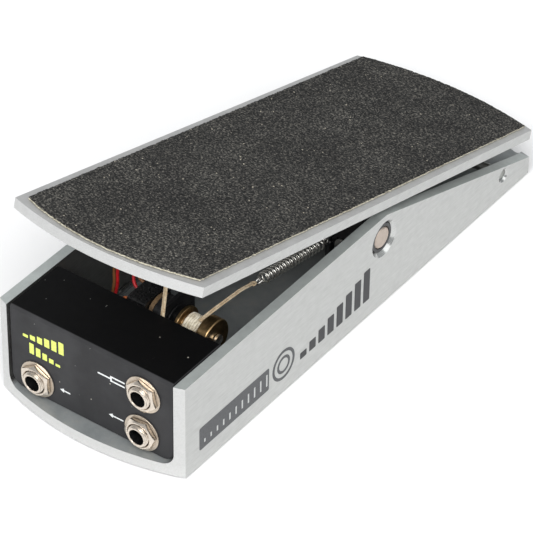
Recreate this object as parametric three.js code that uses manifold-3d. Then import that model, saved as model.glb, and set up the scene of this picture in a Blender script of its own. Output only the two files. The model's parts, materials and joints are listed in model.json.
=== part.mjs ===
// A volume pedal: a shallow aluminium channel carries a rocking treadle on a cross shaft. A cord tied to
// the treadle's toe end turns the spool of a potentiometer, and an extension spring keeps the cord taut.
// Millimetres, +Z up, +Y from the jack (toe) end to the heel end, +X to the right when facing the jacks.
import * as THREE from 'three';
import { mergeVertices } from 'three/addons/utils/BufferGeometryUtils.js';
import Module from 'manifold-3d';

const wasm = await Module();
wasm.setup();

// ---------------------------------------------------------------- driving dimensions
const GAP = 0.3;
const FOOT_PROUD = 0.8;

const WIDTH = 88.9;
const HALF = WIDTH / 2;
const END_RADIUS = 127;
const HALF_LENGTH = 127;
const CORNER_Y = Math.sqrt(END_RADIUS ** 2 - HALF ** 2);
const WALL_HEIGHT = 44.3;
const WALL_THICKNESS = 4.45;
const INNER_X = HALF - WALL_THICKNESS;
const FLOOR = 5;
const FILLET = 5;
const SLOPE_TOP_Y = 12.1;
const SLOPE_END = { y: 118.6, z: 8.3 };

const SHAFT = { y: 10.8, z: 33, radius: 4.75, halfLength: 43.5 };
const BUSHING = { inner: 5.05, outer: 6.5, flange: 8.6, flangeThickness: 0.9 };
const BORE_RADIUS = BUSHING.outer + GAP;
const BORE_COUNTERSINK = 1.5;

const TREADLE_TILT = THREE.MathUtils.degToRad(15.66);
const PLATE = { top: 18.68, thickness: 4.26, centre: -10.25, halfCorner: 117.675 };
const PLATE_UNDER = PLATE.top - PLATE.thickness;
const GRIP = {
  thickness: 1.0, gap: 0.25, halfWidth: 40.4,
  toeCorner: -124.75, toeControl: -142.8, heelCorner: 106.6, heelControl: 120.8,
};
const BLOCK = {
  inner: 26, outer: 38, halfDepth: 8, bottom: -9.5, clampX: 29.5, clampZ: -6.5, screwX: 32, screwY: 4.6,
};
const BUMPERS = { heel: 9, toe: 11.4 };

const HEEL_ROD = { y: 99, z: 10.5, radius: 2.2, halfLength: 43.3 };
const FEET = { x: 32, y: 98, radius: 8, pocket: 1.7 };

const COVER = {
  front: -119.6, rear: -90.2, halfWidth: 39.1, top: 44.2, sheet: 1.5, bend: 1.5, cornerRadius: 5.4,
};
const FLANGE = { halfWidth: 14, depth: 15, screwX: 8, screwY: -110 };
const JACKS = {
  in: { x: -26.1, z: 13.6 },
  tuner: { x: 25.5, z: 32.8 },
  out: { x: 24.6, z: 13.35 },
};
const JACK = {
  bore: 3.25, barrel: 4.75, barrelFront: -123.2, washer: 8.1, washerSheet: 0.5, nutFlats: 12.7, nut: 2,
};
const JACK_BODY = { width: 15, height: 15, front: -115.8, rear: -93, boreEnd: -96 };
const PANEL_HOLE = JACK.barrel + GAP;

const SPOOL = {
  y: -77.9, z: 32.6, left: 12.3, right: 28, flange: 7.8, hub: 5.0, leftFlange: 13.8, drum: 22.8,
  drumRadius: 8.3,
};
const POT = {
  shaftRadius: 3, shaftBack: -6.8, shaftEnd: 24.4, back: -9, mouth: -0.2, chamber: 7, front: 6.7,
  canRadius: 8.3, bushing: 4.6,
};
const BRACKET = { x0: 7.0, x1: 8.5, rear: -65.5, front: -88, top: 43, toe: -96.5, toeTop: 17, footX: -14 };
const BRACKET_SCREWS = { x: -9, ys: [-91, -70] };
const GUIDE = { y: -91.4, z: 12, radius: 1.9, head: 8.8, end: 15.4 };
const CORD = { halfWidth: 1.2, halfHeight: 0.65 };
const ANCHOR = { x: 9.5, y: -99.8 };
const SPRING = {
  coilRadius: 2.1, wire: 0.4, turns: 20, start: [22.9, -45.2, 37.0], end: [23.4, 1.4, 28.3],
};
const POST = { x: 23.4, y: 3.4, radius: 1.8, top: 30.5 };

const COLOURS = {
  aluminium: [0xc9ccc8, 0.42, 0.9],
  anodised: [0x141414, 0.5, 0.6],
  coatedSteel: [0x1a1a1b, 0.55, 0.3],
  nickel: [0xd8cfc0, 0.22, 1],
  steel: [0xb8b6b0, 0.3, 1],
  bronze: [0x8a6234, 0.45, 0.8],
  rubber: [0x151515, 0.9, 0],
  grip: [0x2c2b29, 0.95, 0],
  plastic: [0x101010, 0.5, 0],
  phenolic: [0x3a2a12, 0.7, 0],
  cord: [0xcdbb93, 0.9, 0],
  nylon: [0x3c3a38, 0.6, 0],
};

// ---------------------------------------------------------------- solids
const AXES = {
  x: new THREE.Matrix4().makeBasis(
    new THREE.Vector3(0, 1, 0), new THREE.Vector3(0, 0, 1), new THREE.Vector3(1, 0, 0)),
  y: new THREE.Matrix4().makeBasis(
    new THREE.Vector3(0, 0, 1), new THREE.Vector3(1, 0, 0), new THREE.Vector3(0, 1, 0)),
  z: new THREE.Matrix4(),
};

// Keeps positions only, shares equal vertices and drops triangles that have no area.
function clean(geometry) {
  const bare = new THREE.BufferGeometry();
  bare.setAttribute('position', geometry.getAttribute('position').clone());
  bare.setIndex(geometry.getIndex());
  const merged = mergeVertices(bare, 1e-4);
  const index = merged.getIndex().array;
  const kept = [];
  for (let i = 0; i < index.length; i += 3) {
    const [a, b, c] = [index[i], index[i + 1], index[i + 2]];
    if (a !== b && b !== c && c !== a) kept.push(a, b, c);
  }
  merged.setIndex(kept);
  return merged;
}

function toManifold(geometry) {
  const merged = clean(geometry);
  return new wasm.Manifold(new wasm.Mesh({
    numProp: 3,
    vertProperties: new Float32Array(merged.getAttribute('position').array),
    triVerts: new Uint32Array(merged.getIndex().array),
  }));
}

function fromManifold(solid) {
  const mesh = solid.getMesh();
  const geometry = new THREE.BufferGeometry();
  geometry.setAttribute('position', new THREE.BufferAttribute(mesh.vertProperties, 3));
  geometry.setIndex(new THREE.BufferAttribute(mesh.triVerts, 1));
  return geometry;
}

function cut(body, ...tools) {
  const solid = tools.reduce((rest, tool) => rest.subtract(toManifold(tool)), toManifold(body));
  return fromManifold(solid);
}

function join(...bodies) {
  const [first, ...others] = bodies.map(toManifold);
  return fromManifold(others.reduce((sum, body) => sum.add(body), first));
}

function box([x0, x1], [y0, y1], [z0, z1]) {
  const geometry = new THREE.BoxGeometry(x1 - x0, y1 - y0, z1 - z0);
  return geometry.translate((x0 + x1) / 2, (y0 + y1) / 2, (z0 + z1) / 2);
}

// Extrudes a flat outline along an axis. The outline's own axes are the next two in the order x, y, z, x.
function prism(shape, axis, from, to, segments = 12) {
  const geometry = new THREE.ExtrudeGeometry(shape, {
    depth: to - from, bevelEnabled: false, curveSegments: segments, steps: 1,
  });
  return geometry.translate(0, 0, from).applyMatrix4(AXES[axis]);
}

function polygon(points) {
  return new THREE.Shape(points.map(([a, b]) => new THREE.Vector2(a, b)));
}

// Turns a profile of [radius, height] pairs about an axis through the given centre.
function turned(profile, axis, [cx, cy, cz], segments = 24) {
  const points = profile.map(([radius, height]) => new THREE.Vector2(radius, height));
  const geometry = new THREE.LatheGeometry(points, segments);
  return geometry.rotateX(Math.PI / 2).applyMatrix4(AXES[axis]).translate(cx, cy, cz);
}

function rod(radius, from, to, axis, centre, segments = 24) {
  return turned([[0, from], [radius, from], [radius, to], [0, to]], axis, centre, segments);
}

function ring(inner, outer, from, to, axis, centre, segments = 24) {
  const profile = [[inner, from], [outer, from], [outer, to], [inner, to], [inner, from]];
  return turned(profile, axis, centre, segments);
}

function ellipse(a, b, sides) {
  return new THREE.Shape(Array.from({ length: sides }, (_, i) => {
    const angle = (i / sides) * Math.PI * 2;
    return new THREE.Vector2(a * Math.cos(angle), b * Math.sin(angle));
  }));
}

function tube(points, section, steps) {
  const path = new THREE.CatmullRomCurve3(points.map((p) => new THREE.Vector3(...p)), false, 'centripetal');
  return new THREE.ExtrudeGeometry(section, { steps, extrudePath: path, bevelEnabled: false });
}

// The outline of a plate with two straight sides and two outward-curved ends.
function curvedPlate(halfWidth, cornerFrom, cornerTo, radius) {
  const centreOffset = Math.sqrt(radius ** 2 - halfWidth ** 2);
  const angle = Math.asin(halfWidth / radius);
  const shape = new THREE.Shape();
  shape.absarc(0, cornerFrom + centreOffset, radius, -Math.PI / 2 - angle, -Math.PI / 2 + angle, false);
  shape.absarc(0, cornerTo - centreOffset, radius, Math.PI / 2 - angle, Math.PI / 2 + angle, false);
  shape.closePath();
  return shape;
}

function add(group, name, geometry, [color, roughness, metalness]) {
  const material = new THREE.MeshStandardMaterial({ color, roughness, metalness });
  const mesh = new THREE.Mesh(clean(geometry), material);
  mesh.name = name;
  group.add(mesh);
}

// ---------------------------------------------------------------- base channel and what is fixed to it
// The inside of the channel, with its two bottom corners rounded.
function channelHollow() {
  const top = WALL_HEIGHT + 5;
  const shape = new THREE.Shape();
  shape.moveTo(top, -INNER_X);
  shape.lineTo(top, INNER_X);
  shape.lineTo(FLOOR + FILLET, INNER_X);
  shape.absarc(FLOOR + FILLET, INNER_X - FILLET, FILLET, Math.PI / 2, Math.PI, false);
  shape.lineTo(FLOOR, -INNER_X + FILLET);
  shape.absarc(FLOOR + FILLET, -INNER_X + FILLET, FILLET, Math.PI, Math.PI * 1.5, false);
  shape.closePath();
  return prism(shape, 'y', -HALF_LENGTH - 5, HALF_LENGTH + 5, 6);
}

function wallSlope() {
  const fall = (WALL_HEIGHT - SLOPE_END.z) / (SLOPE_END.y - SLOPE_TOP_Y);
  const beyond = HALF_LENGTH + 10;
  const end = WALL_HEIGHT - fall * (beyond - SLOPE_TOP_Y);
  const above = WALL_HEIGHT + 10;
  return prism(polygon([
    [SLOPE_TOP_Y, WALL_HEIGHT], [beyond, end], [beyond, above], [SLOPE_TOP_Y, above],
  ]), 'x', -HALF - 5, HALF + 5);
}

// A hole through both walls, opened out by a countersink on the outside of each.
function crossHole(radius, countersink, y, z, segments) {
  const wide = radius + countersink;
  return turned([
    [0, -HALF - 1], [wide + 1, -HALF - 1], [radius, -HALF + countersink],
    [radius, HALF - countersink], [wide + 1, HALF + 1], [0, HALF + 1],
  ], 'x', [0, y, z], segments);
}

function floorHole(radius, x, y) {
  return rod(radius, -1, FLOOR + 1, 'z', [x, y, 0], 12);
}

function buildBase(group) {
  const blank = prism(curvedPlate(HALF, -CORNER_Y, CORNER_Y, END_RADIUS), 'z', 0, WALL_HEIGHT, 16);
  const pockets = [];
  for (const sx of [-1, 1]) {
    for (const sy of [-1, 1]) {
      pockets.push(rod(FEET.radius + GAP, -1, FEET.pocket, 'z', [sx * FEET.x, sy * FEET.y, 0], 20));
    }
  }
  const coverHoles = [-1, 1].map((side) => turned([
    [0, -1], [3.9, -1], [2.9, 0], [1.7, 1.2], [1.7, FLOOR + 1], [0, FLOOR + 1],
  ], 'z', [side * FLANGE.screwX, FLANGE.screwY, 0], 12));
  add(group, 'base_channel', cut(
    blank, channelHollow(), wallSlope(),
    crossHole(BORE_RADIUS, BORE_COUNTERSINK, SHAFT.y, SHAFT.z, 32),
    crossHole(HEEL_ROD.radius + GAP, 0.9, HEEL_ROD.y, HEEL_ROD.z, 16),
    ...pockets, ...coverHoles,
    ...BRACKET_SCREWS.ys.map((y) => floorHole(1.7, BRACKET_SCREWS.x, y)),
    floorHole(1.7, POST.x, POST.y),
  ), COLOURS.aluminium);

  let foot = 0;
  for (const sx of [-1, 1]) {
    for (const sy of [-1, 1]) {
      foot += 1;
      add(group, `rubber_foot_${foot}`, turned([
        [0, -FOOT_PROUD], [FEET.radius - 0.6, -FOOT_PROUD], [FEET.radius, 0],
        [FEET.radius, FEET.pocket - GAP], [0, FEET.pocket - GAP],
      ], 'z', [sx * FEET.x, sy * FEET.y, 0], 20), COLOURS.rubber);
    }
  }

  add(group, 'heel_stop_rod',
    rod(HEEL_ROD.radius, -HEEL_ROD.halfLength, HEEL_ROD.halfLength, 'x', [0, HEEL_ROD.y, HEEL_ROD.z], 16),
    COLOURS.steel);
}

function buildBushing(group, name, side) {
  const outerFace = HALF - BORE_COUNTERSINK + 0.3;
  const innerFace = INNER_X - GAP;
  const profile = [
    [BUSHING.inner, innerFace - BUSHING.flangeThickness],
    [BUSHING.flange, innerFace - BUSHING.flangeThickness],
    [BUSHING.flange, innerFace], [BUSHING.outer, innerFace], [BUSHING.outer, outerFace],
    [BUSHING.inner, outerFace], [BUSHING.inner, innerFace - BUSHING.flangeThickness],
  ];
  const geometry = turned(profile, 'x', [0, 0, 0], 28);
  if (side < 0) geometry.rotateZ(Math.PI);
  add(group, name, geometry.translate(0, SHAFT.y, SHAFT.z), COLOURS.nylon);
}

// ---------------------------------------------------------------- jack cover and jacks
// A bent sheet: a top, a front with the jack holes, and a short foot that is screwed to the floor.
function buildCover(group) {
  const { front, rear, top, sheet, bend, halfWidth, cornerRadius } = COVER;
  const bottom = FLOOR + GAP;
  const shape = new THREE.Shape();
  shape.moveTo(rear, top - sheet);
  shape.lineTo(rear, top);
  shape.lineTo(front + bend, top);
  shape.absarc(front + bend, top - bend, bend, Math.PI / 2, Math.PI, false);
  shape.lineTo(front, bottom);
  shape.lineTo(front + FLANGE.depth, bottom);
  shape.lineTo(front + FLANGE.depth, bottom + sheet);
  shape.lineTo(front + sheet, bottom + sheet);
  shape.lineTo(front + sheet, top - sheet);
  shape.closePath();
  const sheetMetal = prism(shape, 'x', -halfWidth, halfWidth, 4);
  const tools = [-1, 1].map((side) => {
    const from = Math.min(side * FLANGE.halfWidth, side * (halfWidth + 1));
    const to = Math.max(side * FLANGE.halfWidth, side * (halfWidth + 1));
    return box([from, to], [front + sheet, front + FLANGE.depth + 1], [0, bottom + sheet + 0.01]);
  });
  for (const side of [-1, 1]) tools.push(roundedCorner(side, halfWidth, bottom, cornerRadius, front));
  for (const { x, z } of Object.values(JACKS)) {
    tools.push(rod(PANEL_HOLE, front - 2, front + sheet + 2, 'y', [x, 0, z], 28));
  }
  for (const side of [-1, 1]) {
    tools.push(rod(1.7, bottom - 1, bottom + sheet + 1, 'z', [side * FLANGE.screwX, FLANGE.screwY, 0], 12));
  }
  add(group, 'jack_cover', cut(sheetMetal, ...tools), COLOURS.coatedSteel);

  for (const [number, side] of [[1, -1], [2, 1]]) {
    add(group, `cover_screw_${number}`, turned([
      [0, 0.3], [2.2, 0.3], [1.3, 1.2], [1.3, 9.5], [0, 9.5],
    ], 'z', [side * FLANGE.screwX, FLANGE.screwY, 0], 12), COLOURS.steel);
  }
}

// What is cut away to round a bottom corner of the front, so that it follows the channel's inside corner.
function roundedCorner(side, halfWidth, bottom, radius, front) {
  const block = box(
    side > 0 ? [halfWidth - radius, halfWidth + 2] : [-halfWidth - 2, -halfWidth + radius],
    [front - 1, front + COVER.sheet + 1], [bottom - 2, bottom + radius]);
  return cut(block, rod(radius, front - 2, front + COVER.sheet + 2, 'y',
    [side * (halfWidth - radius), 0, bottom + radius], 28));
}

function buildJack(group, name, { x, z }) {
  const at = [x, 0, z];
  const { bore, barrel, barrelFront } = JACK;
  const shoulder = COVER.front + COVER.sheet + GAP;
  const body = JACK_BODY.front - GAP;
  add(group, `${name}_barrel`, turned([
    [bore, barrelFront + 0.4], [bore + 0.4, barrelFront], [barrel - 0.5, barrelFront],
    [barrel, barrelFront + 0.5], [barrel, shoulder], [6.6, shoulder], [6.6, body], [bore, body],
    [bore, barrelFront + 0.4],
  ], 'y', at), COLOURS.nickel);
  const washerBack = COVER.front - GAP;
  const washerFront = washerBack - JACK.washerSheet;
  add(group, `${name}_washer`, ring(PANEL_HOLE, JACK.washer, washerFront, washerBack, 'y', at, 28),
    COLOURS.nickel);

  const nutShape = new THREE.Shape(Array.from({ length: 6 }, (_, i) => {
    const angle = (i / 6) * Math.PI * 2;
    const corner = JACK.nutFlats / Math.sqrt(3);
    return new THREE.Vector2(corner * Math.cos(angle), corner * Math.sin(angle));
  }));
  nutShape.holes.push(ellipse(PANEL_HOLE, PANEL_HOLE, 24));
  const nutBack = washerFront - GAP;
  add(group, `${name}_nut`, prism(nutShape, 'y', nutBack - JACK.nut, nutBack).translate(x, 0, z),
    COLOURS.nickel);

  const { width, height, front, rear, boreEnd } = JACK_BODY;
  add(group, `${name}_body`, cut(
    box([x - width / 2, x + width / 2], [front, rear], [z - height / 2, z + height / 2]),
    rod(bore + 0.1, front - 1, boreEnd, 'y', at)), COLOURS.plastic);
}

// ---------------------------------------------------------------- potentiometer on its bracket
function buildPotentiometer(group) {
  const axis = [0, SPOOL.y, SPOOL.z];
  const { x0, x1, rear, front, top, toe, toeTop, footX } = BRACKET;
  const foot = FLOOR + GAP;
  const plate = prism(polygon([
    [rear, foot], [rear, top - 3], [rear - 3, top], [front + 3, top], [front, top - 3],
    [front, toeTop], [toe + 2, toeTop], [toe, toeTop - 2], [toe, foot],
  ]), 'x', x0, x1);
  const bracketFoot = box([footX, x1], [toe, rear], [foot, foot + 1.5]);
  add(group, 'pot_bracket', cut(
    join(plate, bracketFoot),
    rod(POT.bushing + GAP, x0 - 1, x1 + 1, 'x', axis, 24),
    rod(1.3, x0 - 1, x1 + 1, 'x', [0, GUIDE.y, GUIDE.z], 12),
    ...BRACKET_SCREWS.ys.map((y) => rod(1.7, foot - 1, foot + 3, 'z', [BRACKET_SCREWS.x, y, 0], 12)),
  ), COLOURS.anodised);
  BRACKET_SCREWS.ys.forEach((y, i) => add(group, `bracket_screw_${i + 1}`, turned([
    [0, 0.5], [1.4, 0.5], [1.4, foot + 1.8], [2.8, foot + 1.8], [2.6, foot + 3], [1.6, foot + 3.7],
    [0, foot + 3.7],
  ], 'z', [BRACKET_SCREWS.x, y, 0], 12), COLOURS.steel));

  const housing = new THREE.Shape();
  const half = 8.4;
  const round = 2.2;
  for (const [cy, cz, start] of [[1, 1, 0], [-1, 1, 1], [-1, -1, 2], [1, -1, 3]]) {
    housing.absarc(SPOOL.y + cy * (half - round), SPOOL.z + cz * (half - round), round,
      start * Math.PI / 2, (start + 1) * Math.PI / 2, false);
  }
  add(group, 'pot_housing', cut(
    prism(housing, 'x', POT.back, POT.mouth, 5), rod(POT.chamber, POT.back + 1.5, 1, 'x', axis, 24),
  ), COLOURS.plastic);

  // The wafer carries the resistive track, and its three terminals stick out at its toe side.
  const bore = POT.shaftRadius + GAP;
  const wafer = ring(bore, 8.2, 0.1, 1.9, 'x', axis);
  const tags = [-4, 0, 4].map((z) => box(
    [0.6, 1.2], [SPOOL.y - 12.5, SPOOL.y - 6], [SPOOL.z + z - 1, SPOOL.z + z + 1]));
  add(group, 'pot_wafer', join(wafer, ...tags), COLOURS.phenolic);

  // The metal can and its threaded bushing are one turned piece with a clear bore for the shaft.
  add(group, 'pot_bushing', turned([
    [bore, 2.2], [POT.canRadius, 2.2], [POT.canRadius, POT.front], [POT.bushing, POT.front],
    [POT.bushing, 11.6], [bore, 11.6], [bore, 2.2],
  ], 'x', axis), COLOURS.anodised);
  add(group, 'pot_washer', ring(POT.bushing + GAP, 7.2, 8.8, 9.4, 'x', axis), COLOURS.anodised);
  const nutShape = ellipse(6.1, 6.1, 6);
  nutShape.holes.push(ellipse(POT.bushing + GAP, POT.bushing + GAP, 20));
  add(group, 'pot_nut', prism(nutShape, 'x', 9.7, 11.5).translate(0, SPOOL.y, SPOOL.z), COLOURS.anodised);
}

function buildSpool(group) {
  const axis = [0, SPOOL.y, SPOOL.z];
  const bore = POT.shaftRadius + GAP;
  add(group, 'pot_shaft', turned([
    [0, POT.shaftBack], [POT.shaftRadius, POT.shaftBack], [POT.shaftRadius, POT.shaftEnd],
    [1.6, POT.shaftEnd], [1.6, 19], [0, 19],
  ], 'x', axis, 20), COLOURS.steel);
  // The wiper is a disc on the shaft with one contact finger that reaches towards the wafer's track.
  const finger = box([-3.2, -0.5], [SPOOL.y - 1, SPOOL.y + 1], [SPOOL.z + 4.4, SPOOL.z + 6]);
  add(group, 'pot_wiper', join(ring(bore, 6.4, -5.6, -3, 'x', axis, 20), finger), COLOURS.phenolic);
  add(group, 'spool', turned([
    [bore, SPOOL.left], [SPOOL.flange, SPOOL.left], [SPOOL.flange, SPOOL.leftFlange],
    [SPOOL.hub, SPOOL.leftFlange], [SPOOL.hub, SPOOL.drum], [SPOOL.drumRadius - 0.4, SPOOL.drum],
    [SPOOL.drumRadius, SPOOL.drum + 0.4], [SPOOL.drumRadius, SPOOL.right - 0.5],
    [SPOOL.drumRadius - 0.5, SPOOL.right],
    [1.6, SPOOL.right], [1.6, POT.shaftEnd + GAP], [bore, POT.shaftEnd + GAP], [bore, SPOOL.left],
  ], 'x', axis, 28), COLOURS.bronze);
  add(group, 'spool_screw', turned([
    [0, 20], [1.3, 20], [1.3, SPOOL.right + GAP], [2.4, SPOOL.right + GAP], [2.1, SPOOL.right + 1.3],
    [1.2, SPOOL.right + 1.7], [0, SPOOL.right + 1.7],
  ], 'x', axis, 16), COLOURS.steel);
  add(group, 'cord_windings', turned([
    [SPOOL.hub + GAP, 14.2], [5.7, 14.2], [6.2, 20.6], [6.2, 22.4], [SPOOL.hub + GAP, 22.4],
    [SPOOL.hub + GAP, 14.2],
  ], 'x', axis, 24), COLOURS.cord);
}

// ---------------------------------------------------------------- cord, guide and spring
function anchorPoint() {
  const local = new THREE.Vector3(ANCHOR.x, ANCHOR.y, PLATE_UNDER - 2.9);
  local.applyAxisAngle(new THREE.Vector3(1, 0, 0), -TREADLE_TILT);
  return [local.x, local.y + SHAFT.y, local.z + SHAFT.z];
}

class SpringCurve extends THREE.Curve {
  constructor({ start, end, coilRadius, turns }) {
    super();
    this.start = new THREE.Vector3(...start);
    this.run = new THREE.Vector3(...end).sub(this.start);
    this.side = new THREE.Vector3(1, 0, 0);
    this.up = this.run.clone().normalize().cross(this.side).normalize();
    this.coilRadius = coilRadius;
    this.turns = turns;
  }

  getPoint(t, target = new THREE.Vector3()) {
    const taper = Math.min(1, t / 0.04, (1 - t) / 0.04);
    const angle = t * this.turns * Math.PI * 2;
    return target.copy(this.start).addScaledVector(this.run, t)
      .addScaledVector(this.side, this.coilRadius * taper * Math.cos(angle))
      .addScaledVector(this.up, this.coilRadius * taper * Math.sin(angle));
  }
}

function buildCord(group) {
  const section = ellipse(CORD.halfHeight, CORD.halfWidth, 8);
  const side = GUIDE.radius + CORD.halfHeight + 3 * GAP;
  const diagonal = side * Math.SQRT1_2;
  add(group, 'cord_toe_run', tube([
    [15.7, SPOOL.y - 7.1, SPOOL.z + 0.6],
    [15.5, SPOOL.y - 7.5, SPOOL.z - 4.5],
    [13.7, GUIDE.y + side + 1.2, GUIDE.z + 8],
    [12.5, GUIDE.y + side, GUIDE.z + 0.5],
    [12.3, GUIDE.y + diagonal, GUIDE.z - diagonal],
    [12.0, GUIDE.y, GUIDE.z - side],
    [11.7, GUIDE.y - diagonal, GUIDE.z - diagonal],
    [11.5, GUIDE.y - side, GUIDE.z + 0.5],
    [11.1, GUIDE.y - side + 1.3, GUIDE.z + 7],
    anchorPoint(),
  ], section, 60), COLOURS.cord);
  add(group, 'cord_guide_pin', turned([
    [0, 6.2], [1, 6.2], [1, GUIDE.head], [GUIDE.radius, GUIDE.head], [GUIDE.radius, GUIDE.end],
    [3.4, GUIDE.end], [3.4, GUIDE.end + 1], [0, GUIDE.end + 1],
  ], 'x', [0, GUIDE.y, GUIDE.z], 16), COLOURS.steel);
  add(group, 'cord_heel_run', tube([
    [21.3, SPOOL.y - 1.5, SPOOL.z + 6.9],
    [21.5, SPOOL.y + 6, SPOOL.z + 6.9],
    [22.0, -62, 39.3],
    [22.4, -55, 39.1],
    [22.7, -50.6, 38.3],
  ], ellipse(CORD.halfHeight * 0.8, CORD.halfWidth * 0.8, 8), 20), COLOURS.cord);
  add(group, 'extension_spring',
    new THREE.ExtrudeGeometry(ellipse(SPRING.wire, SPRING.wire, 5), {
      steps: SPRING.turns * 10, extrudePath: new SpringCurve(SPRING), bevelEnabled: false,
    }), COLOURS.steel);
  add(group, 'spring_anchor_post', turned([
    [0, 1], [1.4, 1], [1.4, FLOOR + GAP], [4, FLOOR + GAP], [4, FLOOR + 1.8], [POST.radius, FLOOR + 2.4],
    [POST.radius, 26.8], [1.1, 27.3], [1.1, 29.2], [POST.radius, 29.7], [POST.radius, POST.top],
    [0, POST.top],
  ], 'z', [POST.x, POST.y, 0], 14), COLOURS.anodised);
}

function buildCordEnd(group) {
  add(group, 'cord_end_ferrule', turned([
    [0, -49.9], [1.1, -49.9], [1.5, -49.4], [1.5, -46.9], [1.1, -46.4], [0, -46.4],
  ], 'y', [22.8, 0, 37.6], 12), COLOURS.steel);
}

function buildWires(group) {
  const section = ellipse(0.62, 0.62, 8);
  const routes = {
    wire_brown: [0x6b3d1e, [
      [-27.2, -92.6, 14.5], [-27.0, -89, 15.5], [-24.4, -78, 25], [-23.4, -75.6, 33], [-23.3, -75, 41.5],
      [-21.6, -71.5, 44.8], [-15.5, -70, 43.6], [-12.6, -73.3, 40.2], [-9.7, -73.5, 39],
    ]],
    wire_red: [0xa01218, [
      [-24.2, -92.6, 16.5], [-24.0, -89, 17.5], [-22.2, -79, 26], [-21.7, -75.8, 33], [-21.6, -75.2, 41],
      [-20.2, -72.8, 44.2], [-15.6, -73.4, 44.2], [-12.4, -77, 40.6], [-9.7, -78, 38.4],
    ]],
    wire_red_return: [0xb3161b, [
      [-9.7, -71.4, 31], [-12.4, -70.6, 30.6], [-14.8, -74, 27], [-15, -86, 21], [-12, -97.5, 19.4],
      [0, -101.5, 19.2], [16.5, -101.5, 17],
    ]],
    wire_orange: [0xb5521a, [
      [-9.7, -82.4, 36.2], [-12, -82.8, 36.6], [-12.8, -87, 35.4], [-9.5, -93, 34], [2, -97.4, 34],
      [17.4, -98.5, 34],
    ]],
  };
  for (const [name, [colour, points]] of Object.entries(routes)) {
    add(group, name, tube(points, section, 26), [colour, 0.5, 0]);
  }
}

// ---------------------------------------------------------------- treadle, in a frame on the pivot shaft
// Here +Y runs along the plate towards the heel and +Z is the plate's normal.
function buildTreadle(group) {
  const { top, centre, halfCorner } = PLATE;
  const outline = curvedPlate(HALF, centre - halfCorner, centre + halfCorner, END_RADIUS);
  const screws = [-1, 1].flatMap((sx) => [-1, 1].map((sy) => [sx * BLOCK.screwX, sy * BLOCK.screwY]));
  add(group, 'treadle_plate', cut(
    prism(outline, 'z', PLATE_UNDER, top, 16),
    ...screws.map(([x, y]) => turned([
      [0, PLATE_UNDER - 1], [1.8, PLATE_UNDER - 1], [1.8, top - 2], [4.8, top + 1], [0, top + 1],
    ], 'z', [x, y, 0], 16)),
  ), COLOURS.aluminium);
  screws.forEach(([x, y], i) => add(group, `treadle_screw_${i + 1}`, turned([
    [0, 5.5], [1.5, 5.5], [1.5, top - 2], [3.4, top - 0.1], [0, top - 0.1],
  ], 'z', [x, y, 0], 12), COLOURS.steel));
  add(group, 'grip_sheet', prism(gripOutline(), 'z', top + GRIP.gap, top + GRIP.gap + GRIP.thickness, 14),
    COLOURS.grip);

  const { halfLength, radius } = SHAFT;
  add(group, 'pivot_shaft', turned([
    [0, -halfLength], [radius - 0.5, -halfLength], [radius, -halfLength + 0.5], [radius, halfLength - 0.5],
    [radius - 0.5, halfLength], [0, halfLength],
  ], 'x', [0, 0, 0], 28), COLOURS.nickel);
  buildPivotBlock(group, 'left', -1);
  buildPivotBlock(group, 'right', 1);

  const under = PLATE_UNDER - GAP;
  const { heel, toe } = BUMPERS;
  add(group, 'heel_bumper', box([-16, 16], [86, 96], [heel, under]), COLOURS.rubber);
  add(group, 'toe_bumper', box([-32, 32], [-121, -111], [toe, under]), COLOURS.rubber);
  add(group, 'cord_anchor_screw', turned([
    [0, under - 2.1], [2.9, under - 2.1], [2.9, under - 0.9], [1.5, under - 0.9], [1.5, under], [0, under],
  ], 'z', [ANCHOR.x, ANCHOR.y, 0], 16), COLOURS.steel);
}

// A sheet cut a little short of the plate's edges, and rounder at the toe than the plate's end.
function gripOutline() {
  const { halfWidth, toeCorner, toeControl, heelCorner, heelControl } = GRIP;
  const shape = new THREE.Shape();
  shape.moveTo(-halfWidth, toeCorner);
  shape.quadraticCurveTo(0, toeControl, halfWidth, toeCorner);
  shape.lineTo(halfWidth, heelCorner);
  shape.quadraticCurveTo(0, heelControl, -halfWidth, heelCorner);
  shape.closePath();
  return shape;
}

function buildPivotBlock(group, name, side) {
  const { inner, outer, halfDepth, bottom, clampZ, screwX, screwY } = BLOCK;
  const [x0, x1] = side > 0 ? [inner, outer] : [-outer, -inner];
  const shape = polygon([
    [-halfDepth, PLATE_UNDER - GAP], [-halfDepth, bottom + 3], [-halfDepth + 3, bottom],
    [halfDepth - 3, bottom], [halfDepth, bottom + 3], [halfDepth, PLATE_UNDER - GAP],
  ]);
  const clampX = side * BLOCK.clampX;
  const screwHoles = [-1, 1].map((end) => rod(
    1.8, 5, PLATE_UNDER + 1, 'z', [side * screwX, end * screwY, 0], 12));
  add(group, `pivot_block_${name}`, cut(
    prism(shape, 'x', x0, x1),
    rod(BUSHING.inner, x0 - 1, x1 + 1, 'x', [0, 0, 0], 28),
    rod(2.7, -halfDepth - 1, -halfDepth + 3, 'y', [clampX, 0, clampZ], 16),
    rod(1.8, -halfDepth, halfDepth - 2, 'y', [clampX, 0, clampZ], 12),
    ...screwHoles,
  ), COLOURS.anodised);
  add(group, `clamp_screw_${name}`, turned([
    [0, -halfDepth - 0.2], [2.3, -halfDepth - 0.2], [2.3, -halfDepth + 2.7], [1.5, -halfDepth + 2.7],
    [1.5, halfDepth - 2.3], [0, halfDepth - 2.3],
  ], 'y', [clampX, 0, clampZ], 14), COLOURS.steel);
}

// ---------------------------------------------------------------- the whole pedal
const pedal = new THREE.Group();
pedal.position.z = FOOT_PROUD;

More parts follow.
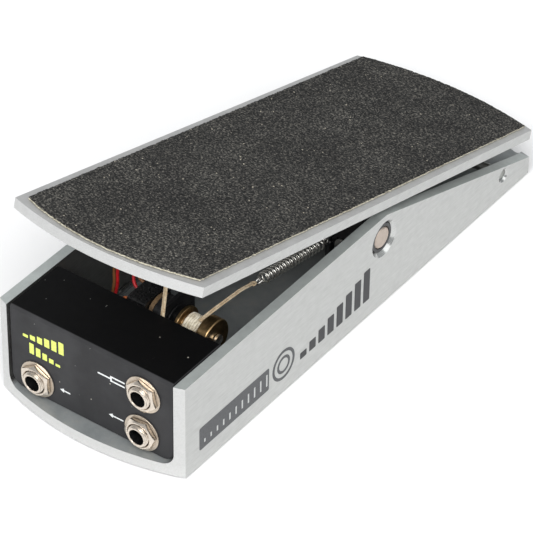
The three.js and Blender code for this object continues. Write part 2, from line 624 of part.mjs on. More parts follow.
buildBase(pedal);
buildBushing(pedal, 'bushing_left', -1);
buildBushing(pedal, 'bushing_right', 1);
buildCover(pedal);
for (const [name, place] of Object.entries(JACKS)) buildJack(pedal, `jack_${name}`, place);
buildPotentiometer(pedal);
buildSpool(pedal);
buildCord(pedal);
buildCordEnd(pedal);
buildWires(pedal);

const treadle = new THREE.Group();
treadle.position.set(0, SHAFT.y, SHAFT.z);
treadle.rotation.x = -TREADLE_TILT;
buildTreadle(treadle);
pedal.add(treadle);

export default pedal;
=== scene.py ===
"""A volume pedal round its CAD frame.

Every CAD node gets a material and rounded edges. The jacks, the cords, the spring, the leads, the spool
screw and the grip sheet are replaced by finer pieces, and generic printed marks are added.
"""
import bpy
import json
import math
import numpy as np
from mathutils import Matrix, Vector


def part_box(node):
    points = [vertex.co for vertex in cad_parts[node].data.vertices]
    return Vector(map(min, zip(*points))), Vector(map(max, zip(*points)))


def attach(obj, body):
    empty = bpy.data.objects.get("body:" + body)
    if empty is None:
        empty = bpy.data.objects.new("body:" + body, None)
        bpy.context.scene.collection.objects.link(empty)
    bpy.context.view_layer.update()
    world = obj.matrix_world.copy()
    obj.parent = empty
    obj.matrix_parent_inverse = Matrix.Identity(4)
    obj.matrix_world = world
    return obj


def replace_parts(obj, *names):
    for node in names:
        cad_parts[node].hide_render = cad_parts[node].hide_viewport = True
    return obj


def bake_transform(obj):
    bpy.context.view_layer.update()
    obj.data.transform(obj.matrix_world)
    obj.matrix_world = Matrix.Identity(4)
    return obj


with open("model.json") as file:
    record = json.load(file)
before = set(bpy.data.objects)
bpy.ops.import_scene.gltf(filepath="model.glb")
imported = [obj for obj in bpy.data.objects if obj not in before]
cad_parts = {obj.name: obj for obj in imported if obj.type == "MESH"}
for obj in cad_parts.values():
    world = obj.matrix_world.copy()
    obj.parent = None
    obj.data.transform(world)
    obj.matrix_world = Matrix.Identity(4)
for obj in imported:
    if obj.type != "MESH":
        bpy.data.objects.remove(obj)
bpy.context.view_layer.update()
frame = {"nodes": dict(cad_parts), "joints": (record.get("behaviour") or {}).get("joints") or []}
NODES = frame["nodes"]
JOINTS = {joint["name"]: joint for joint in frame["joints"]}

# ---------------------------------------------------------------- places and sizes, in mm and degrees
MM = 0.001
FOOT_PROUD = 0.8
HINGE = Vector(JOINTS["treadle_hinge"]["pos_m"])
SPOOL_AXIS = Vector(JOINTS["spool_turn"]["pos_m"])
TILT = math.radians(15.66)
TREADLE = Matrix.Translation(HINGE) @ Matrix.Rotation(-TILT, 4, "X")

PANEL_Y = -119.6
WALL_X = 44.45
JACKS = {"in": (-26.1, 13.6), "tuner": (25.5, 32.8), "out": (24.6, 13.35)}
NUT_TURNS = {"in": 2.1, "tuner": 11.8, "out": -23.6}
NUT = {
    "across_flats": 12.7, "bore": 5.05, "front": -122.5, "back": -120.65, "corner_slope": 30,
    "face_share": 0.462,
}
BARREL = {"front": -123.8, "back": -116.1, "bore": 3.35, "outer": 4.7, "hidden": 6.6}
THREAD = {"turns": 5, "pitch": 0.79, "depth": 0.45}

GUIDE = {"y": -91.4, "z": 12.0, "reach": 3.45}
ANCHOR = (9.5, -99.8, 11.52)
SPRING = {"start": (22.9, -45.2, 37.0), "end": (23.4, 1.4, 28.3), "radius": 2.15, "wire": 0.4, "turns": 18}
HOOK = {"length": 3.2, "eye": 1.35}
WINDINGS = {
    "turns": 6, "first_x": 14.75, "last_x": 21.8, "first_radius": 5.4, "last_radius": 5.5, "cord": 0.6,
}
LEAD_RADIUS = 0.66
SCREW = {"radius": 2.5, "crown": 1.5, "slot_half": 0.3, "slot_depth": 0.7, "rim": 0.3}
GRIP = {
    "top": 19.85, "bottom": 18.95, "half_width": 40.45, "widening": 0.7,
    "toe": -133.6, "toe_sag": 8.9, "heel": 113.8, "heel_sag": 7.2,
}

CAMERA = {"place": (621.96, -869.99, 873.12), "lens": 229.9, "azimuth": 35.78, "pitch": 39.07, "roll": 0.79}
SOFTBOXES = [
    # name, place, target, size and power, in metres and watts
    ("front_softbox", (0.9, -1.7, 1.9), (0, 0, 0), (2.4, 1.6), 92),
    ("right_softbox", (2.2, 0.4, 1.3), (0, 0, 0.02), (1.6, 1.6), 12),
    ("left_softbox", (-1.9, -0.3, 2.0), (0, 0, 0), (1.6, 1.2), 9),
]


def at(x, y, z):
    """A point given in millimetres from the underside of the base, as metres above the floor."""
    return Vector((x, y, z + FOOT_PROUD)) * MM


def on_treadle(x, y, z):
    """A point in the treadle's own frame, in millimetres: +Y along the plate, +Z its normal."""
    return TREADLE @ (Vector((x, y, z)) * MM)


# ---------------------------------------------------------------- materials
class Shader:
    """A principled material whose pattern comes from object coordinates, in metres."""

    def __init__(self, name, colour, roughness, metallic=0.0, specular=0.5, sheen=0.0):
        self.material = bpy.data.materials.new(name)
        self.material.use_nodes = True
        self.tree = self.material.node_tree
        self.bsdf = self.tree.nodes["Principled BSDF"]
        self.bsdf.inputs["Base Color"].default_value = (*colour, 1)
        self.bsdf.inputs["Roughness"].default_value = roughness
        self.bsdf.inputs["Metallic"].default_value = metallic
        self.bsdf.inputs["Specular IOR Level"].default_value = specular
        self.bsdf.inputs["Sheen Weight"].default_value = sheen
        self.coordinates = self.node("ShaderNodeTexCoord")
        self.height = None

    def node(self, kind, inputs=None, **settings):
        made = self.tree.nodes.new(kind)
        for key, value in settings.items():
            setattr(made, key, value)
        for key, value in (inputs or {}).items():
            if isinstance(value, bpy.types.NodeSocket):
                self.tree.links.new(value, made.inputs[key])
            else:
                made.inputs[key].default_value = value
        return made

    def mapped(self, stretch=(1, 1, 1), turn=(0, 0, 0)):
        return self.node("ShaderNodeMapping", {
            "Vector": self.coordinates.outputs["Object"], "Scale": stretch, "Rotation": turn,
        }).outputs["Vector"]

    def noise(self, grain_mm, detail=3.0, stretch=(1, 1, 1), roughness=0.55):
        """Noise with features about grain_mm across."""
        return self.node("ShaderNodeTexNoise", {
            "Vector": self.mapped(stretch), "Scale": 1 / (grain_mm * MM), "Detail": detail,
            "Roughness": roughness,
        }).outputs["Fac"]

    def specks(self, spacing_mm, share, size=0.35):
        """A mask of small round spots: one cell in 1/share has a spot, size cells across."""
        cells = self.node("ShaderNodeTexVoronoi", {"Vector": self.mapped(), "Scale": 1 / (spacing_mm * MM)})
        chosen = self.node("ShaderNodeMath", {0: self.split(cells.outputs["Color"], "Red"), 1: 1 - share},
                           operation="GREATER_THAN").outputs[0]
        near = self.node("ShaderNodeMath", {0: cells.outputs["Distance"], 1: size},
                         operation="LESS_THAN").outputs[0]
        return self.times(chosen, near)

    def split(self, colour, channel):
        return self.node("ShaderNodeSeparateColor", {"Color": colour}).outputs[channel]

    def times(self, a, b):
        return self.node("ShaderNodeMath", {0: a, 1: b}, operation="MULTIPLY").outputs[0]

    def facing(self, axis, low, high):
        """1 where the face looks along the axis, such as "Z", and 0 where it looks elsewhere."""
        normal = self.node("ShaderNodeSeparateXYZ", {"Vector": self.coordinates.outputs["Normal"]})
        return self.span(normal.outputs[axis], low, high)

    def near(self, axis, reach_mm):
        """1 where the object coordinate along the axis is within reach_mm of zero."""
        place = self.node("ShaderNodeSeparateXYZ", {"Vector": self.coordinates.outputs["Object"]})
        size = self.node("ShaderNodeMath", {0: place.outputs[axis]}, operation="ABSOLUTE").outputs[0]
        return self.node("ShaderNodeMath", {0: size, 1: reach_mm * MM}, operation="LESS_THAN").outputs[0]

    def span(self, value, low, high, to_low=0.0, to_high=1.0):
        return self.node("ShaderNodeMapRange", {
            "Value": value, "From Min": low, "From Max": high, "To Min": to_low, "To Max": to_high,
        }).outputs["Result"]

    def ramp(self, factor, *stops):
        made = self.node("ShaderNodeValToRGB", {"Fac": factor})
        elements = made.color_ramp.elements
        while len(elements) < len(stops):
            elements.new(0.5)
        for element, (place, colour) in zip(elements, stops):
            element.position = place
            element.color = (*colour, 1)
        return made.outputs["Color"]

    def blend(self, factor, a, b):
        made = self.node("ShaderNodeMix", data_type="RGBA")
        for socket, value in ((made.inputs[0], factor), (made.inputs[6], a), (made.inputs[7], b)):
            if isinstance(value, bpy.types.NodeSocket):
                self.tree.links.new(value, socket)
            else:
                socket.default_value = value if isinstance(value, float) else (*value, 1)
        return made.outputs[2]

    def paint(self, colour):
        self.tree.links.new(colour, self.bsdf.inputs["Base Color"])
        return self

    def rough(self, value, low, high):
        self.tree.links.new(self.span(value, 0.3, 0.7, low, high), self.bsdf.inputs["Roughness"])
        return self

    def bump(self, height, depth_mm, strength=1.0):
        """Adds relief of about depth_mm on top of any relief there already is."""
        inputs = {"Height": height, "Distance": depth_mm * MM, "Strength": strength}
        if self.height is not None:
            inputs["Normal"] = self.height
        self.height = self.node("ShaderNodeBump", inputs).outputs["Normal"]
        self.tree.links.new(self.height, self.bsdf.inputs["Normal"])
        return self


def aluminium(name, stretch, painted_light_top_tint):
    """Satin aluminium.

    The grain runs along the piece. Flats that look up are cloudy and painted lighter as painted light; the
    floor is darker and mottled; the inside walls are painted darker as painted shade; countersinks are
    polished and the toe end has cutter lines.
    """
    floor_reach, painted_shade_reach = 9, 41.5
    s = Shader(name, (0.6, 0.61, 0.6), 0.42, metallic=0.9)
    grain = s.noise(0.5, 4, stretch)
    clouds = s.noise(9, 5, roughness=0.7)
    body = s.ramp(grain, (0.3, (0.455, 0.46, 0.45)), (0.7, (0.53, 0.535, 0.525)))
    milled = s.ramp(grain, (0.3, (0.56, 0.565, 0.555)), (0.7, (0.63, 0.63, 0.625)))
    # painted shade: a darker copy of the side colour for the inside walls
    painted_shade_inside = s.ramp(grain, (0.3, (0.2, 0.2, 0.195)), (0.7, (0.26, 0.26, 0.25)))
    # painted light: faces that look up get this lighter, cloudy colour instead of the side colour, standing
    # in for light on the tops
    flats = [tuple(shade * c for c in painted_light_top_tint) for shade in (0.66, 0.76, 0.8)]
    painted_light_top = s.ramp(clouds, *zip((0.35, 0.62, 0.75), flats))
    # the floor of the channel, near the bottom, gets a darker mottled colour
    darker_floor_tone = s.ramp(clouds, (0.35, (0.31, 0.335, 0.34)), (0.6, (0.38, 0.4, 0.4)),
                     (0.76, (0.45, 0.44, 0.4)))
    painted_light_top = s.blend(s.near("Z", floor_reach), painted_light_top, darker_floor_tone)
    up = s.facing("Z", 0.6, 0.9)
    toe_end = s.facing("Y", -0.6, -0.9)
    # painted shade: inside walls within this reach of the middle take the darker copy, standing in for the
    # shade under the treadle
    sides = s.blend(s.near("X", painted_shade_reach), body, painted_shade_inside)
    s.paint(s.blend(up, s.blend(toe_end, sides, milled), painted_light_top))
    s.tree.links.new(s.span(up, 0, 1, 0.9, 0.55), s.bsdf.inputs["Metallic"])
    countersink = s.times(s.facing("X", 0.4, 0.55), s.facing("X", 0.95, 0.85))
    uneven = s.span(s.noise(3, 4), 0.3, 0.7, 0.34, 0.5)
    polish = s.node("ShaderNodeMath", {0: uneven, 1: s.times(countersink, 0.24)},
                    operation="SUBTRACT").outputs[0]
    s.tree.links.new(polish, s.bsdf.inputs["Roughness"])
    cutter = s.node("ShaderNodeTexWave", {
        "Vector": s.mapped(turn=(0, math.radians(35), 0)), "Scale": 420.0, "Distortion": 1.2, "Detail": 2.0,
    }, bands_direction="Z").outputs["Fac"]
    s.bump(grain, 0.02, 0.6)
    s.bump(s.times(cutter, toe_end), 0.02, 0.7)
    return s.material


def speckled_coat(name, colour, roughness, dust):
    """Black coat on sheet metal: fine orange peel, painted shade that makes the top deeper black, and a
    little dust.
    """
    s = Shader(name, colour, roughness, specular=0.1)
    tone = s.noise(14, 3)
    lighter = tuple(1.4 * c for c in colour)
    front = s.ramp(tone, (0.35, colour), (0.7, lighter))
    # painted shade: faces that look up get a near-black colour, darker than the front, standing in for how
    # the light falls on the top
    up = s.facing("Z", 0.9, 0.99)
    coat = s.blend(up, front, (0.0025, 0.0025, 0.0027))
    dusty = s.blend(s.specks(1.5, 0.5 * dust, 0.1), coat, (0.3, 0.3, 0.29))
    s.paint(s.blend(s.specks(3.1, dust, 0.09), dusty, (0.36, 0.34, 0.3)))
    s.rough(s.noise(4, 4), roughness - 0.06, roughness + 0.08)
    s.bump(s.noise(0.35, 2), 0.02, 0.5)
    return s.material


def plated(name, colour, roughness, mottle, grain_mm=2.4):
    """Bright plated metal with faint uneven polish."""
    s = Shader(name, colour, roughness, metallic=1.0)
    darker = tuple(mottle * c for c in colour)
    s.paint(s.ramp(s.noise(grain_mm, 2), (0.25, darker), (0.75, colour)))
    s.rough(s.noise(3, 2), roughness * 0.85, roughness * 1.2)
    s.bump(s.noise(0.9, 1), 0.004, 0.4)
    return s.material


def moulded(name, colour, roughness, grain_mm=0.4, depth_mm=0.02):
    """Moulded rubber or plastic: small colour changes and a fine moulded grain."""
    s = Shader(name, colour, roughness)
    lighter = tuple(min(1.0, 1.45 * c + 0.004) for c in colour)
    s.paint(s.ramp(s.noise(3.5, 4), (0.35, colour), (0.7, lighter)))
    s.rough(s.noise(1.5, 3), roughness - 0.08, roughness + 0.08)
    s.bump(s.noise(grain_mm, 2), depth_mm, 0.6)
    return s.material


def grit():
    """Coarse black grit with paler worn crystals. The palest grain tones are painted glints where crystals
    catch the light.
    """
    s = Shader("grit_black", (0.03, 0.03, 0.03), 0.8, specular=0.4)
    fine = s.noise(0.85, 2, roughness=0.75)
    wear = s.noise(30, 3)
    # painted highlight: the top stop of each ramp is a pale glint on the grain tips, over the grit's own
    # dark tones
    dark = s.ramp(fine, (0.42, (0.002, 0.002, 0.002)), (0.5, (0.013, 0.013, 0.0125)),
                  (0.58, (0.044, 0.042, 0.038)), (0.68, (0.16, 0.15, 0.13)))
    worn_and_glints = s.ramp(fine, (0.4, (0.003, 0.003, 0.003)), (0.49, (0.02, 0.02, 0.019)),
                  (0.56, (0.062, 0.06, 0.054)), (0.66, (0.2, 0.19, 0.165)))
    surface = s.blend(s.span(wear, 0.4, 0.68), dark, worn_and_glints)
    s.paint(s.blend(s.specks(1.6, 0.05, 0.2), surface, (0.45, 0.41, 0.33)))
    s.bump(fine, 0.3, 0.9)
    return s.material


def fibre(name, dark, light, ply_mm):
    """Twisted fibre: lighter and darker strands with a hairy surface."""
    s = Shader(name, light, 0.85, specular=0.2, sheen=0.3)
    s.paint(s.ramp(s.noise(ply_mm, 4, roughness=0.7), (0.36, dark), (0.58, light)))
    s.bump(s.noise(0.3, 3), 0.04, 0.7)
    return s.material


def laminate():
    """Brown phenolic board with thin layers."""
    s = Shader("phenolic_brown", (0.14, 0.08, 0.035), 0.65)
    layers = s.noise(0.3, 3, (4, 0.4, 0.4))
    s.paint(s.ramp(layers, (0.35, (0.07, 0.04, 0.02)), (0.65, (0.24, 0.15, 0.07))))
    s.bump(layers, 0.03, 0.6)
    return s.material


def ink(name, colour, wear):
    """Screen-printed ink: slightly uneven, thin in places."""
    s = Shader(name, colour, 0.5, specular=0.35)
    thin = tuple(wear * c for c in colour)
    s.paint(s.ramp(s.noise(0.7, 4), (0.3, thin), (0.55, colour)))
    s.bump(s.noise(0.3, 2), 0.01, 0.4)
    return s.material


def floor_paper():
    """Nearly white paper with faint clouds."""
    s = Shader("floor_paper", (0.9, 0.9, 0.9), 0.8, specular=0.1)
    s.paint(s.ramp(s.noise(90, 2), (0.3, (0.885, 0.885, 0.885)), (0.7, (0.905, 0.905, 0.905))))
    return s.material


MATERIALS = {
    # the last colour of each aluminium is the painted light on its faces that look up
    "channel": aluminium("satin_aluminium_channel", (1, 0.06, 1), (0.73, 0.78, 0.76)),
    "plate": aluminium("satin_aluminium_plate", (1, 0.06, 1), (0.76, 0.76, 0.75)),
    "coat": speckled_coat("coated_sheet_black", (0.03, 0.03, 0.0315), 0.5, 0.05),
    "anodised": moulded("anodised_black", (0.005, 0.005, 0.0055), 0.35, 0.3, 0.01),
    "nickel": plated("nickel_warm", (0.74, 0.66, 0.57), 0.27, 0.85),
    "washer": plated("nickel_dull", (0.62, 0.54, 0.45), 0.45, 0.85),
    "steel": plated("steel_bright", (0.72, 0.71, 0.68), 0.3, 0.85),
    "spring": plated("steel_spring", (0.84, 0.82, 0.77), 0.38, 0.9),
    "shaft": plated("steel_turned", (0.53, 0.45, 0.39), 0.42, 0.85),
    "rod": plated("steel_grey", (0.42, 0.43, 0.41), 0.5, 0.8),
    "bronze": plated("bronze_dull", (0.42, 0.285, 0.14), 0.34, 0.5, 1.6),
    "rubber": moulded("rubber_black", (0.014, 0.014, 0.014), 0.8, 0.5, 0.05),
    "plastic": moulded("plastic_black", (0.003, 0.003, 0.0032), 0.3),
    "nylon": moulded("nylon_black", (0.02, 0.02, 0.021), 0.45),
    "phenolic": laminate(),
    "grit": grit(),
    "backing": fibre("backing_tan", (0.2, 0.18, 0.13), (0.48, 0.45, 0.36), 1.2),
    "cord": fibre("cord_waxed", (0.45, 0.32, 0.18), (0.66, 0.54, 0.37), 2.2),
    "winding": fibre("cord_wound", (0.5, 0.42, 0.29), (0.8, 0.74, 0.6), 1.8),
    "wire_brown": moulded("wire_cover_brown", (0.2, 0.085, 0.03), 0.35),
    "wire_red": moulded("wire_cover_red", (0.42, 0.012, 0.016), 0.3),
    "wire_orange": moulded("wire_cover_orange", (0.5, 0.12, 0.02), 0.35),
    "dark_ink": ink("ink_dark_grey", (0.075, 0.077, 0.082), 0.75),
    "black_ink": ink("ink_black", (0.03, 0.03, 0.033), 0.8),
    "light_ink": ink("ink_light_grey", (0.5, 0.51, 0.5), 0.8),
    "yellow_ink": ink("ink_yellow_green", (0.66, 0.74, 0.16), 0.8),
    "white_ink": ink("ink_white", (0.72, 0.74, 0.74), 0.75),
}

NODE_MATERIALS = {
    "channel": ["base_channel"],
    "plate": ["treadle_plate"],
    "coat": ["jack_cover"],
    "anodised": ["pot_bracket", "pot_washer", "pot_nut", "pot_bushing",
                 "spring_anchor_post", "pivot_block_left", "pivot_block_right"],
    "washer": [f"jack_{name}_washer" for name in JACKS],
    "steel": ["cover_screw_1", "cover_screw_2", "bracket_screw_1", "bracket_screw_2", "pot_shaft",
              "cord_guide_pin", "clamp_screw_left", "clamp_screw_right", "cord_anchor_screw",
              *(f"treadle_screw_{i}" for i in range(1, 5))],
    "shaft": ["pivot_shaft"],
    "rod": ["heel_stop_rod"],
    "bronze": ["spool"],
    "rubber": ["heel_bumper", "toe_bumper", *(f"rubber_foot_{i}" for i in range(1, 5))],
    "plastic": ["pot_housing", *(f"jack_{name}_body" for name in JACKS)],
    "nylon": ["bushing_left", "bushing_right"],
    "phenolic": ["pot_wafer", "pot_wiper"],
}
EDGE_RADII = {
    "base_channel": 0.45, "treadle_plate": 0.5, "jack_cover": 0.3, "pot_housing": 0.4, "pot_bracket": 0.25,
    "spool": 0.25, "pivot_block_left": 0.5, "pivot_block_right": 0.5,
}
SMALL_EDGE = 0.12
FLAT_ANGLE, EDGE_ANGLE = 0.6, 35


def finish_nodes():
    """Every CAD node that stays gets its material, rounded edges and smooth round faces."""
    for material, names in NODE_MATERIALS.items():
        for name in names:
            node = NODES[name]
            for place in node.material_slots:
                place.material = MATERIALS[material]
            round_edges(node, EDGE_RADII.get(name, SMALL_EDGE))


def round_edges(obj, radius_mm):
    """Joins coplanar triangles into faces, then rounds the edges that turn by more than EDGE_ANGLE."""
    for polygon in obj.data.polygons:
        polygon.use_smooth = True
    weld = obj.modifiers.new("weld", "WELD")
    weld.merge_threshold = 1e-6
    flats = obj.modifiers.new("flats", "DECIMATE")
    flats.decimate_type = "DISSOLVE"
    flats.angle_limit = math.radians(FLAT_ANGLE)
    bevel = obj.modifiers.new("edges", "BEVEL")
    bevel.width = radius_mm * MM
    bevel.segments = 2
    bevel.limit_method = "ANGLE"
    bevel.angle_limit = math.radians(EDGE_ANGLE)
    bevel.use_clamp_overlap = True
    bevel.miter_outer = "MITER_ARC"
    normals = obj.modifiers.new("normals", "WEIGHTED_NORMAL")
    normals.keep_sharp = False


# ---------------------------------------------------------------- mesh tools
INK_BACK, INK_FRONT = 0.01, 0.05


def mesh_object(name, vertices, faces, materials, smooth=True, face_materials=None):
    mesh = bpy.data.meshes.new(name)
    mesh.from_pydata([tuple(v) for v in vertices], [], [tuple(int(i) for i in f) for f in faces])
    mesh.polygons.foreach_set("use_smooth", [smooth] * len(mesh.polygons))
    for material in materials:
        mesh.materials.append(material)
    if face_materials is not None:
        mesh.polygons.foreach_set("material_index", face_materials)
    mesh.validate()
    obj = bpy.data.objects.new(name, mesh)
    bpy.context.scene.collection.objects.link(obj)
    return obj


def turned(name, profile, place, materials, segments, dark):
    """A closed ring profile of (radius, depth) in mm, turned about the +Y axis through place.

    The stretches of the profile that dark names get the second material.
    """
    count = len(profile)
    vertices = []
    for i in range(segments):
        angle = 2 * math.pi * i / segments
        for radius, depth in profile:
            spoke = Vector((radius * math.cos(angle), depth, radius * math.sin(angle)))
            vertices.append(place + spoke * MM)
    faces = []
    picks = []
    for i in range(segments):
        a, b = i * count, ((i + 1) % segments) * count
        for j in range(count):
            k = (j + 1) % count
            faces.append((a + j, a + k, b + k, b + j))
            picks.append(1 if j in dark else 0)
    return mesh_object(name, vertices, faces, materials, face_materials=picks)


def smooth_path(points, step_mm):
    """A Catmull-Rom curve through the points, as evenly spaced points step_mm apart."""
    p = np.array([tuple(v) for v in points], float)
    p = np.vstack([2 * p[0] - p[1], p, 2 * p[-1] - p[-2]])
    fine = []
    t = np.linspace(0, 1, 40, endpoint=False)[:, None]
    for a, b, c, d in zip(p, p[1:], p[2:], p[3:]):
        square, cube = 2 * a - 5 * b + 4 * c - d, 3 * b - a - 3 * c + d
        fine.append(0.5 * (2 * b + (c - a) * t + square * t**2 + cube * t**3))
    return evenly(np.vstack([*fine, p[-2]]), step_mm)


def evenly(points, step_mm):
    """The same line with its points step_mm apart."""
    lengths = np.r_[0, np.cumsum(np.linalg.norm(np.diff(points, axis=0), axis=1))]
    wanted = np.linspace(0, lengths[-1], max(2, int(lengths[-1] / (step_mm * MM)) + 1))
    return np.stack([np.interp(wanted, lengths, points[:, k]) for k in range(3)], 1)


def directions(points, first=(1, 0, 0)):
    """The tangent, a sideways and an upward direction at each point, without twist."""
    tangents = np.gradient(points, axis=0)
    tangents /= np.linalg.norm(tangents, axis=1)[:, None]
    side = np.array(first, float)
    sides = []
    for tangent in tangents:
        side = side - side.dot(tangent) * tangent
        side /= np.linalg.norm(side)
        sides.append(side)
    sides = np.array(sides)
    return tangents, sides, np.cross(tangents, sides)


def tube(name, points, radius_mm, material, sides=14, lobes=0, twist_mm=3.0, first=(1, 0, 0)):
    """A closed tube along the points. With lobes, its section is a rope's, turning once in twist_mm."""
    lobe_height = 0.1
    _, side, up = directions(points, first)
    run = np.r_[0, np.cumsum(np.linalg.norm(np.diff(points, axis=0), axis=1))] / MM
    vertices = []
    for point, a, b, along in zip(points, side, up, run):
        for i in range(sides):
            angle = 2 * math.pi * i / sides
            turned_by = 2 * math.pi * along / twist_mm
            swell = 1 + (lobe_height * math.cos(lobes * (angle - turned_by)) if lobes else 0)
            reach = radius_mm * MM * swell
            vertices.append(point + a * reach * math.cos(angle) + b * reach * math.sin(angle))
    rings = len(points)
    faces = []
    for ring in range(rings - 1):
        for i in range(sides):
            j = (i + 1) % sides
            low, high = ring * sides, (ring + 1) * sides
            faces.append((low + i, low + j, high + j, high + i))
    faces.append(tuple(reversed(range(sides))))
    faces.append(tuple(range((rings - 1) * sides, rings * sides)))
    return mesh_object(name, vertices, faces, [material])


def grid_rim(rows, columns):
    """The indices round the border of a grid of points, in order."""
    return (list(range(columns)) + [(i + 1) * columns - 1 for i in range(1, rows)]
            + [(rows - 1) * columns + j for j in reversed(range(columns - 1))]
            + [i * columns for i in reversed(range(1, rows - 1))])


def grid_faces(rows, columns):
    """The squares of a grid of points."""
    return [(i * columns + j, i * columns + j + 1, (i + 1) * columns + j + 1, (i + 1) * columns + j)
            for i in range(rows - 1) for j in range(columns - 1)]


def joined(name, objects):
    """One object from several, with every material kept."""
    bpy.ops.object.select_all(action="DESELECT")
    for obj in objects:
        obj.select_set(True)
    bpy.context.view_layer.objects.active = objects[0]
    bpy.ops.object.join()
    objects[0].name = name
    return objects[0]


def printed(name, outlines, place, material, body):
    """Flat marks of ink. Each outline is a list of (across, up) in mm.

    place turns (across, up, out) in mm into a point.
    """
    vertices = []
    faces = []
    for outline in outlines:
        first = len(vertices)
        count = len(outline)
        vertices += [place(a, b, INK_BACK) for a, b in outline]
        vertices += [place(a, b, INK_FRONT) for a, b in outline]
        faces.append(tuple(first + i for i in reversed(range(count))))
        faces.append(tuple(first + count + i for i in range(count)))
        for i in range(count):
            j = (i + 1) % count
            faces.append((first + i, first + j, first + count + j, first + count + i))
    obj = mesh_object(name, vertices, faces, [material], smooth=False)
    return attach(obj, body)


def rectangle(a0, a1, b0, b1, corner=0.0):
    """A rectangle, with rounded corners if corner is given."""
    steps = 5
    if not corner:
        return [(a0, b0), (a1, b0), (a1, b1), (a0, b1)]
    outline = []
    for ca, cb, start in ((a1 - corner, b0 + corner, -90), (a1 - corner, b1 - corner, 0),
                          (a0 + corner, b1 - corner, 90), (a0 + corner, b0 + corner, 180)):
        for i in range(steps + 1):
            angle = math.radians(start + 90 * i / steps)
            outline.append((ca + corner * math.cos(angle), cb + corner * math.sin(angle)))
    return outline


# ---------------------------------------------------------------- camera, floor and light
def build_camera():
    """A long lens from the front right, looking down on the pedal."""
    azimuth, pitch = math.radians(CAMERA["azimuth"]), math.radians(CAMERA["pitch"])
    level = math.cos(pitch)
    forward = Vector((-math.sin(azimuth) * level, math.cos(azimuth) * level, -math.sin(pitch)))
    turn = forward.to_track_quat("-Z", "Y").to_matrix().to_4x4()
    camera = bpy.data.objects.new("camera", bpy.data.cameras.new("camera"))
    camera.matrix_world = (Matrix.Translation(Vector(CAMERA["place"]) * MM) @ turn
                           @ Matrix.Rotation(math.radians(CAMERA["roll"]), 4, "Z"))
    camera.data.sensor_width = 36
    camera.data.lens = CAMERA["lens"]
    camera.data.clip_end = 50
    bpy.context.scene.collection.objects.link(camera)
    bpy.context.scene.camera = camera


def area_light(name, place, target, size, power):
    light = bpy.data.lights.new(name, "AREA")
    light.shape = "RECTANGLE"
    light.size, light.size_y = size
    light.energy = power
    obj = bpy.data.objects.new(name, light)
    obj.location = place
    obj.rotation_euler = (Vector(target) - Vector(place)).to_track_quat("-Z", "Y").to_euler()
    bpy.context.scene.collection.objects.link(obj)


def build_studio():
    """A pale floor, a pale sky and three soft lights."""
    reach = 6
    corners = [(-reach, -reach, 0), (reach, -reach, 0), (reach, reach, 0), (-reach, reach, 0)]
    mesh_object("floor", corners, [(0, 1, 2, 3)], [floor_paper()], smooth=False)
    world = bpy.data.worlds.new("studio")
    world.use_nodes = True
    background = world.node_tree.nodes["Background"]
    background.inputs["Color"].default_value = (0.96, 0.98, 1.0, 1)
    background.inputs["Strength"].default_value = 0.42
    bpy.context.scene.world = world
    for softbox in SOFTBOXES:
        area_light(*softbox)
    bpy.context.scene.view_settings.view_transform = "Standard"


# ---------------------------------------------------------------- jacks
def build_jacks():
    for name, (x, z) in JACKS.items():
        build_barrel(name, at(x, 0, z))
        build_nut(name, at(x, 0, z))


def build_barrel(name, place):
    """The threaded barrel: a rolled lip, thread rings outside and a dark bore behind the lip."""
    front, bore, outer = BARREL["front"], BARREL["bore"], BARREL["outer"]
    root = outer - THREAD["depth"]
    lip_edge, lip_round = 0.36, 0.12
    profile = [(bore, front + 0.35), (bore + lip_round, front + lip_round), (bore + 0.4, front),
               (outer - 0.6, front), (outer - 0.4, front + lip_round), (outer - lip_edge, front + 0.3)]
    for i in range(THREAD["turns"]):
        start = front + 0.3 + i * THREAD["pitch"]
        profile += [(outer, start + 0.3), (outer, start + 0.42), (root, start + 0.72)]
    shoulder = PANEL_Y + 1.8
    profile += [(root, shoulder), (BARREL["hidden"], shoulder), (BARREL["hidden"], BARREL["back"]),
                (bore, BARREL["back"]), (bore, front + 0.55)]
    inside = len(profile) - 2
    barrel = turned(f"jack_{name}_threaded_barrel", profile, place,
                    [MATERIALS["nickel"], MATERIALS["plastic"]], 56, {inside})
    round_normals(barrel, 28)
    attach(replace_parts(barrel, f"jack_{name}_barrel"), "base")


def round_normals(obj, angle):
    """Keeps edges sharper than the angle crisp, and shades the rest as round."""
    obj.data.set_sharp_from_angle(angle=math.radians(angle))


def build_nut(name, place):
    """A hexagon nut whose front corners are turned off."""
    bore, front, back = NUT["bore"], NUT["front"], NUT["back"]
    steps = 72
    sixth = math.pi / 3
    turn = math.radians(NUT_TURNS[name])
    start = NUT["across_flats"] * NUT["face_share"]
    vertices = []
    faces = []
    for i in range(steps):
        angle = 2 * math.pi * i / steps
        edge = NUT["across_flats"] / 2 / math.cos((angle + sixth / 2) % sixth - sixth / 2)
        drop = (edge - start) * math.tan(math.radians(NUT["corner_slope"]))
        angle += turn
        ring = ((bore, back), (bore, front + 0.3), (bore + 0.3, front), (start, front),
                (edge, front + drop), (edge, back))
        for radius, depth in ring:
            spoke = Vector((radius * math.cos(angle), depth, radius * math.sin(angle)))
            vertices.append(place + spoke * MM)
    count = len(ring)
    for i in range(steps):
        a, b = i * count, ((i + 1) % steps) * count
        for j in range(count):
            k = (j + 1) % count
            faces.append((a + j, a + k, b + k, b + j))
    nut = mesh_object(f"jack_{name}_hex_nut", vertices, faces, [MATERIALS["nickel"]])
    round_normals(nut, 20)
    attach(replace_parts(nut, f"jack_{name}_nut"), "base")


# ---------------------------------------------------------------- cords, spring and leads
TWIST = 2.6
HEEL_CORD_RADIUS = 0.43


